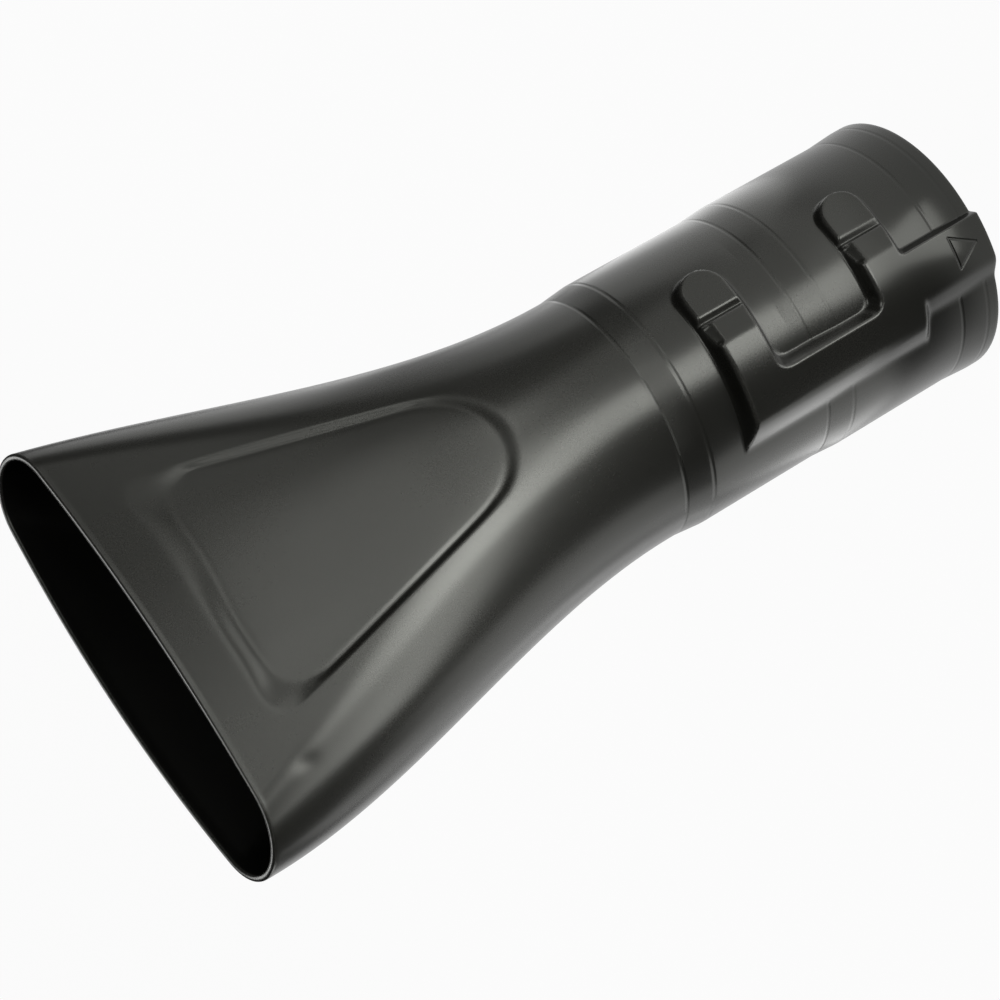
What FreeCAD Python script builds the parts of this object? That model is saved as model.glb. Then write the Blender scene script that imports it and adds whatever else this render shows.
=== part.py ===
import FreeCAD, Part
import math
import os
import Sketcher

# Leaf blower nozzle, one blow-moulded piece: a stepped bayonet socket, a flare and a flat mouth.
# The socket axis is +Z and its rim lies on z = 0, so the nozzle stands on the rim with the mouth up.
# The recessed panel faces -Y and the mouth is wide along X.
# Track angles are in degrees about the axis, from the panel side (-Y) towards -X.

SIZES = {
    "wall": 1.8,
    # socket: outer radius of each section from the rim inwards, and the waists between them, the first
    # placed from the rim and the last from the socket's end
    "rim_radius": 40.0,
    "outer_radius": 39.3,
    "inner_radius": 38.6,
    "neck_radius": 37.6,
    "first_waist": 8.5,
    "last_waist": 6.5,
    "waist_width": 8.8,
    "waist_depth": 0.5,
    "socket_length": 113.0,
    # flare and mouth
    "flare_length": 150.0,
    "mouth_width": 133.6,
    "mouth_height": 39.6,
    "mouth_end_radius": 14.5,
    "mouth_rise": 19.5,
    "mouth_tilt": 19.0,
    # recessed panel on the flare, a triangle with rounded corners, a gap away from the socket's end
    "panel_gap": 36.0,
    "panel_length": 95.5,
    "panel_half_width": 38.0,
    "panel_neck_radius": 18.0,
    "panel_corner_radius": 7.0,
    "panel_depth": 1.6,
    "panel_draft": 20.0,
    # bayonet track: radius of its crown, and the angles of its walls at the crown and at the foot
    "track_radius": 43.2,
    "entry_start": 23.8,
    "entry_start_foot": 13.1,
    "entry_end": 42.7,
    "entry_end_foot": 56.3,
    "stem_start": 38.3,
    "stem_start_foot": 31.6,
    "stem_end": 53.0,
    "stem_end_foot": 73.0,
    # two locking arms, one waist pitch apart, with round ends, flat lands and a detent notch
    "arm_first": 33.2,
    "arm_width": 12.0,
    "arm_foot_width": 17.8,
    "arm_end": -3.0,
    "land_angle": 3.0,
    "land_distance": 41.5,
    "notch_angle": 7.5,
    "notch_width": 3.2,
    "notch_depth": 0.9,
}
NODE = "nozzle_tube"
SECTIONS = ("rim", "outer", "inner", "neck")
STATIONS = (0.0, 0.2, 0.4, 0.6, 0.8, 1.0)
# distance from one waist to the next, and the heights at which the panel starts and ends
PITCH = f"((Sizes.socket_length - Sizes.last_waist - Sizes.first_waist) / {len(SECTIONS) - 2})"
PANEL_START = "(Sizes.socket_length + Sizes.panel_gap)"
PANEL_END = f"({PANEL_START} + Sizes.panel_length)"
# how the flare grows from the neck to the mouth: ease of its width, powers of its height, rise and lean
WIDTH_EASE = 2.5
HEIGHT_POWER = 3
RISE_POWER = 3
LEAN_POWER = 1.5
# rise of the panel's floor at the mouth, in panel depths, and how far its prism reaches in and out
RAMP_RISE = 1.9
PRISM_REACH = "Sizes.neck_radius / 3"
# angle from the Y axis at which the neck's circle is split to face the ovals
SPLIT = 30.0
# share of a track wall's depth that its prism runs past the crown, and a radius outside everything
OVERRUN = 0.5
FAR = "2 * Sizes.track_radius"
# widths of an arm from the foot of its walls to the crown
ARM_WIDTHS = ("Sizes.arm_foot_width", "Sizes.arm_width")
ARMS = (0, 1)
UP = FreeCAD.Vector(0, 0, 1)
ACROSS = FreeCAD.Vector(1, 0, 0)
LENGTHWAYS = FreeCAD.Rotation(ACROSS, 90)

doc = FreeCAD.newDocument("nozzle")
sheet = doc.addObject("Spreadsheet::Sheet", "Sizes")
for row, (alias, size) in enumerate(SIZES.items(), start=1):
    sheet.set(f"A{row}", alias)
    sheet.set(f"B{row}", str(size))
    sheet.setAlias(f"B{row}", alias)
doc.recompute()


def number(expression):
    """Value of an expression over the sheet."""
    return float(sheet.evalExpression(expression))


def polar(radius, angle):
    """Point about the axis at a track angle, as expressions for x and y."""
    return f"-({radius}) * sin(({angle}) * 1deg)", f"-({radius}) * cos(({angle}) * 1deg)"


def bind(sketch, rule, expression):
    """Adds a dimension to a sketch and ties it to an expression."""
    sketch.setExpression(f"Constraints[{sketch.addConstraint(rule)}]", expression)


def bind_point(sketch, edge, end, point):
    """Holds the start (1), end (2) or centre (3) of an edge at a pair of expressions."""
    for axis, expression in zip("XY", point):
        rule = Sketcher.Constraint("Distance" + axis, -1, 1, edge, end, number(expression))
        bind(sketch, rule, expression)


def polygon(name, points, turn=FreeCAD.Rotation()):
    """Sketch of straight edges through points given as pairs of expressions."""
    sketch = doc.addObject("Sketcher::SketchObject", name)
    sketch.Placement = FreeCAD.Placement(FreeCAD.Vector(), turn)
    places = [FreeCAD.Vector(number(x), number(y), 0) for x, y in points]
    following = places[1:] + places[:1]
    for start, end in zip(places, following):
        sketch.addGeometry(Part.LineSegment(start, end))
    for i, point in enumerate(points):
        sketch.addConstraint(Sketcher.Constraint("Coincident", i - 1 if i else len(points) - 1, 2, i, 1))
        bind_point(sketch, i, 1, point)
    return sketch


def turned(name, points):
    """Solid of revolution about the axis from an outline of (radius, height) expressions."""
    solid = doc.addObject("Part::Revolution", name)
    solid.Source = polygon(name + "_outline", points, LENGTHWAYS)
    solid.Axis = UP
    solid.Angle = 360
    solid.Solid = True
    return solid


def drawn(name, points):
    """Prism along the whole socket from an outline of (x, y) expressions."""
    solid = doc.addObject("Part::Extrusion", name)
    solid.Base = polygon(name + "_outline", points)
    solid.DirMode = "Custom"
    solid.Dir = UP
    solid.setExpression("LengthFwd", "Sizes.socket_length")
    solid.Solid = True
    return solid


def boolean(kind, name, base, tool):
    solid = doc.addObject("Part::" + kind, name)
    solid.Base = base
    solid.Tool = tool
    return solid


def fused(name, solids):
    solid = doc.addObject("Part::MultiFuse", name)
    solid.Shapes = solids
    return solid


def waist(i):
    """Middle height of a waist."""
    return f"(Sizes.first_waist + {i} * {PITCH})"


def socket_outside():
    """Four cylinders of falling radius, with a shallow V-shaped waist between each and the next."""
    points = [("0", "0"), ("Sizes.rim_radius", "0")]
    for i, (wide, narrow) in enumerate(zip(SECTIONS, SECTIONS[1:])):
        points.append((f"Sizes.{wide}_radius", f"{waist(i)} - Sizes.waist_width / 2"))
        points.append((f"Sizes.{narrow}_radius - Sizes.waist_depth", waist(i)))
        points.append((f"Sizes.{narrow}_radius", f"{waist(i)} + Sizes.waist_width / 2"))
    points += [("Sizes.neck_radius", "Sizes.socket_length"), ("0", "Sizes.socket_length")]
    return turned("socket_outside", points)


def socket_bore():
    """Stepped bore: each step is a cone that ends at the middle of a waist."""
    points = [("0", "0"), ("Sizes.outer_radius - Sizes.wall", "0")]
    for i, (wide, narrow) in enumerate(zip(SECTIONS[1:], SECTIONS[2:]), start=1):
        points.append((f"Sizes.{wide}_radius - Sizes.wall", f"{waist(i)} - Sizes.waist_width"))
        points.append((f"Sizes.{narrow}_radius - Sizes.wall", waist(i)))
    points += [("Sizes.neck_radius - Sizes.wall", "Sizes.socket_length"), ("0", "Sizes.socket_length")]
    return turned("socket_bore", points)


def add_arcs(sketch, arcs):
    """Arcs given as centre, radius, start and end angle in radians."""
    for x, y, radius, start, end in arcs:
        circle = Part.Circle(FreeCAD.Vector(x, y, 0), UP, radius)
        sketch.addGeometry(Part.ArcOfCircle(circle, start, end))


def quadrants(lean):
    """Start and end angles of four arcs that meet at an angle either side of the Y axis."""
    quarter = math.pi / 2
    marks = (quarter - lean, quarter + lean, 3 * quarter - lean, 3 * quarter + lean, 5 * quarter - lean)
    return zip(marks, marks[1:])


def neck_section(sketch, inset):
    """Circle in four arcs, so that each arc faces one of an oval's."""
    radius = f"Sizes.neck_radius - ({inset})"
    lean = math.radians(SPLIT)
    add_arcs(sketch, [(0, 0, number(radius), start, end) for start, end in quadrants(lean)])
    bind_point(sketch, 0, 3, ("0", "0"))
    bind(sketch, Sketcher.Constraint("Radius", 0, number(radius)), radius)
    for i in (1, 2, 3):
        sketch.addConstraint(Sketcher.Constraint("Coincident", i, 3, 0, 3))
        sketch.addConstraint(Sketcher.Constraint("Coincident", i - 1, 2, i, 1))
    for edge, end, side in ((0, 1, 1), (0, 2, -1), (1, 2, -1), (2, 2, 1), (3, 2, 1)):
        place = f"{side} * ({radius}) * sin({SPLIT}deg)"
        bind(sketch, Sketcher.Constraint("DistanceX", -1, 1, edge, end, number(place)), place)


def oval_section(sketch, share, inset):
    """Oval of four tangent arcs: two flanks of the end radius and two broad sides.

    From the neck to the mouth the width eases in and out and the height follows a power of the share.
    """
    wide = share ** 2 * (WIDTH_EASE - (WIDTH_EASE - 1) * share)
    flat = share ** HEIGHT_POWER
    neck = f"Sizes.neck_radius - ({inset})"
    half_width = f"({neck} + (Sizes.mouth_width / 2 - Sizes.neck_radius) * {wide})"
    half_height = f"({neck} + (Sizes.mouth_height / 2 - Sizes.neck_radius) * {flat})"
    drop = f"((Sizes.mouth_height / 2 - Sizes.mouth_end_radius) * {share})"
    flank = f"({half_height} - {drop})"
    reach = f"({half_width} - {flank})"
    broad = f"(({reach} ^ 2 + {half_height} ^ 2 - {flank} ^ 2) / (2 * {drop}))"
    depth = number(broad) - number(half_height)
    lean = math.atan2(number(reach), depth)
    places = ((0, -depth, broad), (-number(reach), 0, flank), (0, depth, broad), (number(reach), 0, flank))
    add_arcs(sketch, [(x, y, number(radius), start, end)
                      for (x, y, radius), (start, end) in zip(places, quadrants(lean))])
    for i, (_, _, radius) in enumerate(places):
        sketch.addConstraint(Sketcher.Constraint("Tangent", i, 2, (i + 1) % 4, 1))
        bind(sketch, Sketcher.Constraint("Radius", i, number(radius)), radius)
    bind_point(sketch, 1, 3, (f"-{reach}", "0"))
    bind_point(sketch, 3, 3, (reach, "0"))


def flare(name, insets):
    """Loft from the neck to the mouth, set in from the outer face by one expression a station.

    The middle of the sections rises towards the panel, and they lean back towards it.
    """
    sections = []
    for share, inset in zip(STATIONS, insets):
        sketch = doc.addObject("Sketcher::SketchObject", f"{name}_section")
        sketch.Placement = FreeCAD.Placement(FreeCAD.Vector(), FreeCAD.Rotation(ACROSS, 1))
        sketch.setExpression("Placement.Base.y", f"-Sizes.mouth_rise * {share ** RISE_POWER}")
        sketch.setExpression("Placement.Base.z", f"Sizes.socket_length + Sizes.flare_length * {share}")
        lean = f"Sizes.mouth_tilt * {share ** LEAN_POWER} * 1deg"
        sketch.setExpression("Placement.Rotation.Angle", lean)
        if share:
            oval_section(sketch, share, inset)
        else:
            neck_section(sketch, inset)
        sections.append(sketch)
    solid = doc.addObject("Part::Loft", name)
    solid.Sections = sections
    solid.Solid = True
    return solid


def panel_prism(name, grow):
    """Tapered prism over the panel: three arcs joined by tangent lines, drawn from the crown inwards."""
    sketch = doc.addObject("Sketcher::SketchObject", name + "_outline")
    sketch.Placement = FreeCAD.Placement(FreeCAD.Vector(), LENGTHWAYS)
    sketch.setExpression("Placement.Base.y", "-Sizes.neck_radius")
    side = "(Sizes.panel_half_width - Sizes.panel_corner_radius)"
    height = f"({PANEL_END} - Sizes.panel_corner_radius)"
    corners = ((("0", f"{PANEL_START} + Sizes.panel_neck_radius"), f"Sizes.panel_neck_radius + ({grow})"),
               ((side, height), f"Sizes.panel_corner_radius + ({grow})"),
               ((f"-{side}", height), f"Sizes.panel_corner_radius + ({grow})"))
    centres = [FreeCAD.Vector(number(x), number(y), 0) for (x, y), _ in corners]
    radii = [number(radius) for _, radius in corners]
    joins = []
    for i in range(3):
        way = centres[(i + 1) % 3] - centres[i]
        outward = math.atan2(-way.x, way.y) + math.asin((radii[i] - radii[(i + 1) % 3]) / way.Length)
        joins.append(outward % (2 * math.pi))
    add_arcs(sketch, [(centres[i].x, centres[i].y, radii[i], joins[i - 1], joins[i]) for i in range(3)])
    for i in range(3):
        following = (i + 1) % 3
        normal = FreeCAD.Vector(math.cos(joins[i]), math.sin(joins[i]), 0)
        sketch.addGeometry(Part.LineSegment(centres[i] + normal * radii[i],
                                            centres[following] + normal * radii[following]))
    for i, (centre, radius) in enumerate(corners):
        sketch.addConstraint(Sketcher.Constraint("Tangent", i, 2, 3 + i, 1))
        sketch.addConstraint(Sketcher.Constraint("Tangent", 3 + i, 2, (i + 1) % 3, 1))
        bind_point(sketch, i, 3, centre)
        bind(sketch, Sketcher.Constraint("Radius", i, number(radius)), radius)
    solid = doc.addObject("Part::Extrusion", name)
    solid.Base = sketch
    solid.DirMode = "Custom"
    solid.Dir = FreeCAD.Vector(0, 1, 0)
    solid.setExpression("LengthFwd", PRISM_REACH)
    solid.setExpression("LengthRev", PRISM_REACH)
    solid.setExpression("TaperAngle", "-Sizes.panel_draft * 1deg")
    solid.Solid = True
    return solid


def recess(name, grow, inset):
    """What the panel takes out of a flare, down to a floor under its face that ramps up at the mouth."""
    floor = [f"{inset} + Sizes.panel_depth"] * len(STATIONS)
    floor[-1] = f"{inset} - {RAMP_RISE} * Sizes.panel_depth"
    return boolean("Cut", name, panel_prism(name + "_prism", grow), flare(name + "_floor", floor))


def band(name, start, end, inset):
    """Turned band of the track between two heights, each given at the foot and at the crown."""
    foot = f"Sizes.neck_radius - ({inset})"
    crown = f"Sizes.track_radius - ({inset})"
    return turned(name, [(foot, start[0]), (crown, start[1]), (crown, end[1]), (foot, end[0])])


def walls(name, start, end, inset):
    """Prism between two walls of the track, each a name of its angles at the foot and at the crown."""
    shift = f"({inset}) / Sizes.track_radius * 180 / pi"
    foot = f"Sizes.neck_radius - ({inset})"
    points = []
    for wall, sign in ((start, "+"), (end, "-")):
        low = polar(foot, f"Sizes.{wall}_foot {sign} {shift}")
        high = polar(f"Sizes.track_radius - ({inset})", f"Sizes.{wall} {sign} {shift}")
        over = tuple(f"({top}) + {OVERRUN} * (({top}) - ({bottom}))" for top, bottom in zip(high, low))
        points.append((low, over))
    (low_start, over_start), (low_end, over_end) = points
    return drawn(name, [low_start, over_start, over_end, low_end])


def arm_edge(i, side, inset):
    """Heights of one side of an arm at the foot of its wall and at the crown, set in by the inset."""
    middle = f"Sizes.arm_first + {i} * {PITCH}"
    return [f"{middle} {side} ({width} / 2 - ({inset}))" for width in ARM_WIDTHS]


def arm(name, i, inset):
    """Locking arm: a turned band from the stem to a round end."""
    outline = [("0", "0"), polar(FAR, "Sizes.arm_end"), polar(FAR, "Sizes.stem_end")]
    ring = band(name + "_band", arm_edge(i, "-", inset), arm_edge(i, "+", inset), inset)
    run = boolean("Common", name + "_run", ring, drawn(name + "_sector", outline))
    end = doc.addObject("Part::Cone", name + "_end")
    end.setExpression("Radius1", f"Sizes.arm_foot_width / 2 - ({inset})")
    end.setExpression("Radius2", f"Sizes.arm_width / 2 - ({inset})")
    end.setExpression("Height", "Sizes.track_radius - Sizes.neck_radius")
    end.Placement.Rotation = FreeCAD.Rotation(ACROSS, 90)
    x, y = polar(f"Sizes.neck_radius - ({inset})", "Sizes.arm_end")
    end.setExpression("Placement.Base.x", x)
    end.setExpression("Placement.Base.y", y)
    end.setExpression("Placement.Base.z", f"Sizes.arm_first + {i} * {PITCH}")
    return [run, end]


def land_cut(name, inset):
    """What is cut from the arms: all above their flat lands, and the detent notch across each."""
    distance = f"(Sizes.land_distance - ({inset}))"
    turn = f"acos({distance} / ({FAR})) / 1deg"
    above = drawn(name + "_above", [polar(FAR, f"Sizes.land_angle - {turn}"), polar(FAR, "Sizes.land_angle"),
                                    polar(FAR, f"Sizes.land_angle + {turn}")])
    land = f"({distance} / cos((Sizes.notch_angle - Sizes.land_angle) * 1deg))"
    half = f"(Sizes.notch_width / {land} * 90 / pi)"
    notch = drawn(name + "_notch", [polar(f"{land} - Sizes.notch_depth", "Sizes.notch_angle"),
                                    polar(f"{land} + Sizes.notch_depth", f"Sizes.notch_angle - 2 * {half}"),
                                    polar(f"{land} + Sizes.notch_depth", f"Sizes.notch_angle + 2 * {half}")])
    return fused(name, [above, notch])


def track(name, inset):
    """Bayonet track, set in from its outer face: an entry at the rim, a stem along the socket, two arms."""
    entry_end = arm_edge(ARMS[0], "+", inset)[-1]
    entry_band = band(name + "_entry_band", ("0", "0"), (entry_end, entry_end), inset)
    entry_walls = walls(name + "_entry_walls", "entry_start", "entry_end", inset)
    entry = boolean("Common", name + "_entry", entry_band, entry_walls)
    ends = arm_edge(ARMS[0], "-", inset), arm_edge(ARMS[-1], "+", inset)
    stem_band = band(name + "_stem_band", *ends, inset)
    stem_walls = walls(name + "_stem_walls", "stem_start", "stem_end", inset)
    stem = boolean("Common", name + "_stem", stem_band, stem_walls)
    runs = [solid for i in ARMS for solid in arm(f"{name}_arm_{i + 1}", i, inset)]
    arms = boolean("Cut", name + "_arms", fused(name + "_runs", runs), land_cut(name + "_lands", inset))
    return [entry, stem, arms]


OUTSIDE = "0"
INSIDE = "Sizes.wall"
outside = fused("outside", [socket_outside(), flare("flare_outside", [OUTSIDE] * len(STATIONS)),
                            *track("track_outside", OUTSIDE)])
body = boolean("Cut", "body", outside, recess("recess_outside", OUTSIDE, OUTSIDE))
flare_inside = flare("flare_inside", [INSIDE] * len(STATIONS))
duct = boolean("Cut", "duct", flare_inside, recess("recess_inside", INSIDE, INSIDE))
cavity = fused("cavity", [socket_bore(), duct, *track("track_inside", INSIDE)])
nozzle = boolean("Cut", NODE, body, cavity)
nozzle.Label = NODE

doc.recompute()
faults = [thing.Name for thing in doc.Objects if {"Invalid", "Error"} & set(thing.State)]
if faults:
    raise RuntimeError("objects that failed: " + ", ".join(faults))
if nozzle.Shape.isNull() or not nozzle.Shape.isValid() or len(nozzle.Shape.Solids) != 1:
    raise RuntimeError("the nozzle is not one valid solid")
os.makedirs("parts", exist_ok=True)
nozzle.Shape.exportStep(f"parts/{NODE}.step")
print(NODE, "volume", round(nozzle.Shape.Volume), "mm3", nozzle.Shape.BoundBox)
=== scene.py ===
# %% [markdown]
# # A leaf blower nozzle tube
# This lesson dresses one blow-moulded part: a stepped round socket that slides over a blower tube, a raised
# bayonet track on its side, and a flare that ends in a wide flat mouth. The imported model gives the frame, so
# every size here is in that frame: the socket's axis is +Z, its rim stands on z = 0, and the recessed panel
# looks towards -Y. The solid has the right form but hard corners. A real moulding has none, because the
# plastic is blown against the mould and rounds off every edge, and those small rounds carry the highlights.

# %% Load the frame
import bpy
import numpy as np
from mathutils import Matrix


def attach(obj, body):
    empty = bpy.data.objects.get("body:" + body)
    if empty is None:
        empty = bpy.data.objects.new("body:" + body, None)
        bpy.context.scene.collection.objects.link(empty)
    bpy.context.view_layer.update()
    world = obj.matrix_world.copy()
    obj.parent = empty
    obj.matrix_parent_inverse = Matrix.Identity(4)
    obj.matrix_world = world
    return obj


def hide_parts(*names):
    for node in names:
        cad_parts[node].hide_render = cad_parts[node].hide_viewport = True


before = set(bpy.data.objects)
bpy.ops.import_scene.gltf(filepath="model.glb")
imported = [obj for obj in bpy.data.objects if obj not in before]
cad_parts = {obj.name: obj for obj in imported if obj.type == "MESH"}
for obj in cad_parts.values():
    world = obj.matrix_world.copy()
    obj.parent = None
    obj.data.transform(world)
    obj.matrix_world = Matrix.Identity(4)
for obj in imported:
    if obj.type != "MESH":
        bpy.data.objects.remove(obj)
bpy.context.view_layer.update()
MM = 0.001


# %% [markdown]
# ## Rounded creases
# One surface can be built from many simple ones by taking the smaller or the larger of two heights, as a
# mould maker adds and cuts. A plain minimum leaves a knife edge where two heights cross. Here the minimum
# dips a little where the two are close, so each crease gets a round of a chosen size and the rest stays put.
# The maximum is the same thing upside down.


# %% Soft minimum, soft maximum and a bent line
def soft_least(a, b, rounding):
    """Smaller of two heights; within the rounding of each other it dips by the square of their closeness."""
    close = np.clip(1 - np.abs(a - b) / rounding, 0, 1)
    return np.minimum(a, b) - close ** 2 * rounding / 4


def soft_most(a, b, rounding):
    """Larger of two heights: the soft minimum of both turned upside down."""
    return -soft_least(-a, -b, rounding)


def smooth_step(share):
    """Rises from 0 to 1 with level ends: three times the square less twice the cube."""
    share = np.clip(share, 0, 1)
    return share ** 2 * (3 - 2 * share)


def mix(first, second, share):
    """A share of the way from a first value to a second."""
    return first + (second - first) * share


def bent_line(at, corners, rounding):
    """Line through corners with soft bends: each corner adds its change of slope times a soft ramp.

    The soft ramp at a distance d past a corner is half the sum of d and of the root of d squared plus the
    rounding squared.
    """
    places, heights = np.array(corners).T
    slopes = np.diff(heights) / np.diff(places)
    line = heights[0] + slopes[0] * (at - places[0])
    for place, change in zip(places[1:-1], np.diff(slopes)):
        past = at - place
        line = line + change * (past + np.sqrt(past ** 2 + rounding ** 2)) / 2
    return line


print("soft minimum of 1 and 1 with a rounding of 0.4:", soft_least(1.0, 1.0, 0.4))

# %% [markdown]
# ## The stepped socket
# The socket is four short cylinders, each a little narrower than the one nearer the rim. Between each and
# the next is a waist, where the radius falls slowly, with a fine crease along both of its edges. All of it
# is round, so one bent line of radius against height describes it. The creases are less than a tenth of a
# millimetre deep, too shallow to need points of their own, so they wait for the material. The bore is a
# second line, a wall's thickness further in.

# %% Radius of the socket, outside and inside
WALL = 1.8
SECTION_RADII = (40.0, 39.3, 38.6, 37.6)
NECK = SECTION_RADII[-1]
WAISTS = (8.5, 57.5, 106.5)
WAIST_WIDTH = 8.8
WAIST_ROUND = 0.5
BORE_ROUND = 1.5
SOCKET_LENGTH = 113.0


def socket_radius(z):
    """Outer radius: level runs, and at each waist a slow fall from one run to the next."""
    corners = [(0.0, SECTION_RADII[0])]
    for middle, wide, narrow in zip(WAISTS, SECTION_RADII, SECTION_RADII[1:]):
        corners += [(middle - WAIST_WIDTH / 2, wide), (middle + WAIST_WIDTH / 2, narrow)]
    return bent_line(z, corners + [(SOCKET_LENGTH + WAIST_WIDTH, NECK)], WAIST_ROUND)


def bore_radius(z):
    """Inner radius: runs a wall's thickness further in, and cones that end in the middle of a waist."""
    corners = [(0.0, SECTION_RADII[1] - WALL)]
    for middle, wide, narrow in zip(WAISTS[1:], SECTION_RADII[1:], SECTION_RADII[2:]):
        corners += [(middle - WAIST_WIDTH, wide - WALL), (middle, narrow - WALL)]
    return bent_line(z, corners + [(SOCKET_LENGTH + WAIST_WIDTH, NECK - WALL)], BORE_ROUND)


print("outer radius at the rim and the neck:", socket_radius(np.array([0.0, SOCKET_LENGTH])).round(2))

# %% [markdown]
# ## The bayonet track
# Pins on the blower tube enter at the rim, run up a stem and turn into one of two arms, so the nozzle locks
# in two positions. Blown plastic shows that channel outside as a raised F. Every wall of it is a plain
# slope, a radius that climbs from foot to crown over a short way, and the track is the lowest of its slopes
# and its crown. Near their round ends the arms are cut by one flat plane, the land, and a notch crosses it
# where the pin snaps in. Angles are in degrees about the axis, from the panel's side (-Y) towards -X.

# %% Radius of the track
CROWN = 43.2
ENTRY_START = (20.8, 23.8)
ENTRY_END = (56.3, 42.7)
STEM_START = (34.8, 38.3)
STEM_END = (67.5, 52.5)
ARM_MIDDLES = (33.2, 82.2)
ARM_HALF_WIDTH = (8.9, 6.0)
ARM_END = -3.0
ARM_ROOT = (50.0, 44.0)
LAND_ANGLE = 3.0
LAND_DISTANCE = 41.5
LAND_LIMIT = 60.0
LAND_ROUND = 0.3
NOTCH = (6.0, 8.5, 9.8)
NOTCH_DEPTH = 1.4
NOTCH_ROUND = 0.4
BEVEL_START = 4.4
BEVEL_SPAN = (9.0, 19.5)
BEVEL_EASE = 1.5
BEVEL_FALL = 0.55
BEVEL_ROUND = 0.5
EDGE_ROUND = 0.8
CORNER_ROUND = 3.5
WINDOW_ROUND = 9.0
FOOT_ROUND = 0.9
HOLLOW_INSET = 1.25 * WALL
HOLLOW_ROUND = 1.2


def slope(at, foot_and_crown):
    """Radius of a wall that climbs from the neck's radius at its foot to the crown, and on beyond both."""
    foot, crown = foot_and_crown
    return NECK + (CROWN - NECK) * (at - foot) / (crown - foot)


def arc(angle):
    """Length along the crown of an angle in degrees."""
    return np.radians(angle) * CROWN


def cap_radius(angle, z):
    """Top of the track: the crown, cut by the flat land, with a V notch and a bevel beside the land.

    A flat plane seen from the axis is its distance over the cosine of the angle from its middle. Past a
    limit the angle is held, because the cosine comes near to zero.
    """
    land = LAND_DISTANCE / np.cos(np.radians(np.clip(angle - LAND_ANGLE, -LAND_LIMIT, LAND_LIMIT)))
    start, bottom, end = NOTCH
    off = np.where(angle < bottom, (bottom - angle) / (bottom - start), (angle - bottom) / (end - bottom))
    groove = land - NOTCH_DEPTH * (1 - off)
    cap = soft_least(soft_least(land, groove, NOTCH_ROUND), CROWN + 0 * land, LAND_ROUND) + 0 * z
    first, last = BEVEL_SPAN
    along = smooth_step((angle - first) / BEVEL_EASE) * smooth_step((last - angle) / BEVEL_EASE)
    for middle in ARM_MIDDLES:
        past = soft_most(z - middle - BEVEL_START, 0.0 * z, BEVEL_ROUND)
        cap = cap - along * BEVEL_FALL * np.where(z < middle + 2 * ARM_HALF_WIDTH[0], past, 0)
    return cap


def arm_walls(angle, z, middle):
    """Walls of an arm with a round end: a slope over the distance to its middle line, and its root."""
    beyond = np.minimum(arc(angle - ARM_END), 0)
    return np.minimum(slope(np.hypot(beyond, z - middle), ARM_HALF_WIDTH), slope(angle, ARM_ROOT))


def track_radius(angle, z):
    """The F: the largest of the entry's, the stem's and the arms' walls, each the smallest of its slopes.

    The walls run on above the crown, so the rounds of their inner corners end where the cap cuts them off.
    """
    first, last = ARM_MIDDLES
    foot, crown = ARM_HALF_WIDTH
    entry = soft_least(slope(angle, ENTRY_START), slope(angle, ENTRY_END), EDGE_ROUND)
    entry = np.minimum(entry, slope(z, (first + foot - crown, first)))
    upper = soft_least(slope(angle, STEM_START), slope(angle, STEM_END), EDGE_ROUND) + 0 * z
    for middle in ARM_MIDDLES:
        upper = soft_most(upper, arm_walls(angle, z, middle), WINDOW_ROUND)
    upper = soft_least(upper, slope(z, (last + foot, last + crown)), EDGE_ROUND)
    upper = soft_least(upper, slope(z, (first - foot, first - crown)), CORNER_ROUND)
    walls = soft_most(upper, entry, CORNER_ROUND)
    return soft_least(walls, cap_radius(angle, z), EDGE_ROUND)


def socket_outside(angle, z):
    """Outer radius of the whole socket: the track standing out of the turned socket, with soft feet."""
    return soft_most(socket_radius(z), track_radius(angle, z), FOOT_ROUND)


def socket_inside(angle, z):
    """Inner radius: the hollow is the track moved in, by more than the wall because its sides slope."""
    return soft_most(bore_radius(z), track_radius(angle, z) - HOLLOW_INSET, HOLLOW_ROUND)


print("radius on the entry's crown:", socket_outside(np.array(33.0), np.array(10.0)).round(2))

# %% [markdown]
# ## The flare and the mouth
# Past the socket the round tube flattens into a mouth more than three times as wide as it is high. Each
# cross section is an oval of tangent arcs, two tight ones at the ends and two broad ones between, and the
# sections lean back and rise towards the panel as they go. One formula gives any point of it, so no control
# points are needed. The columns of the grid are placed so that two of them run along the panel's sides.

# %% Points of the flare
FLARE_LENGTH = 150.0
MOUTH_HALF_WIDTH = 66.8
MOUTH_HALF_HEIGHT = 19.8
FRONT_END_RADIUS = 16.5
BACK_END_RADIUS = 14.5
MOUTH_RISE = 19.5
MOUTH_TILT = 19.0
WIDTH_EASE = 2.5
LEAST_DROP = 1e-6
PANEL_ANGLE = 24.5
PANEL_SIDE = (161.0, 17.5, 0.264)
PANEL_START_ROUND = 4.0


def panel_half_width(z):
    """Half the panel's width: lines that spread with height, and below those its width at the neck."""
    start, width, spread = PANEL_SIDE
    neck_width = NECK * np.sin(np.radians(PANEL_ANGLE))
    return soft_most(neck_width + 0 * z, width + spread * (z - start), PANEL_START_ROUND)


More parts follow.
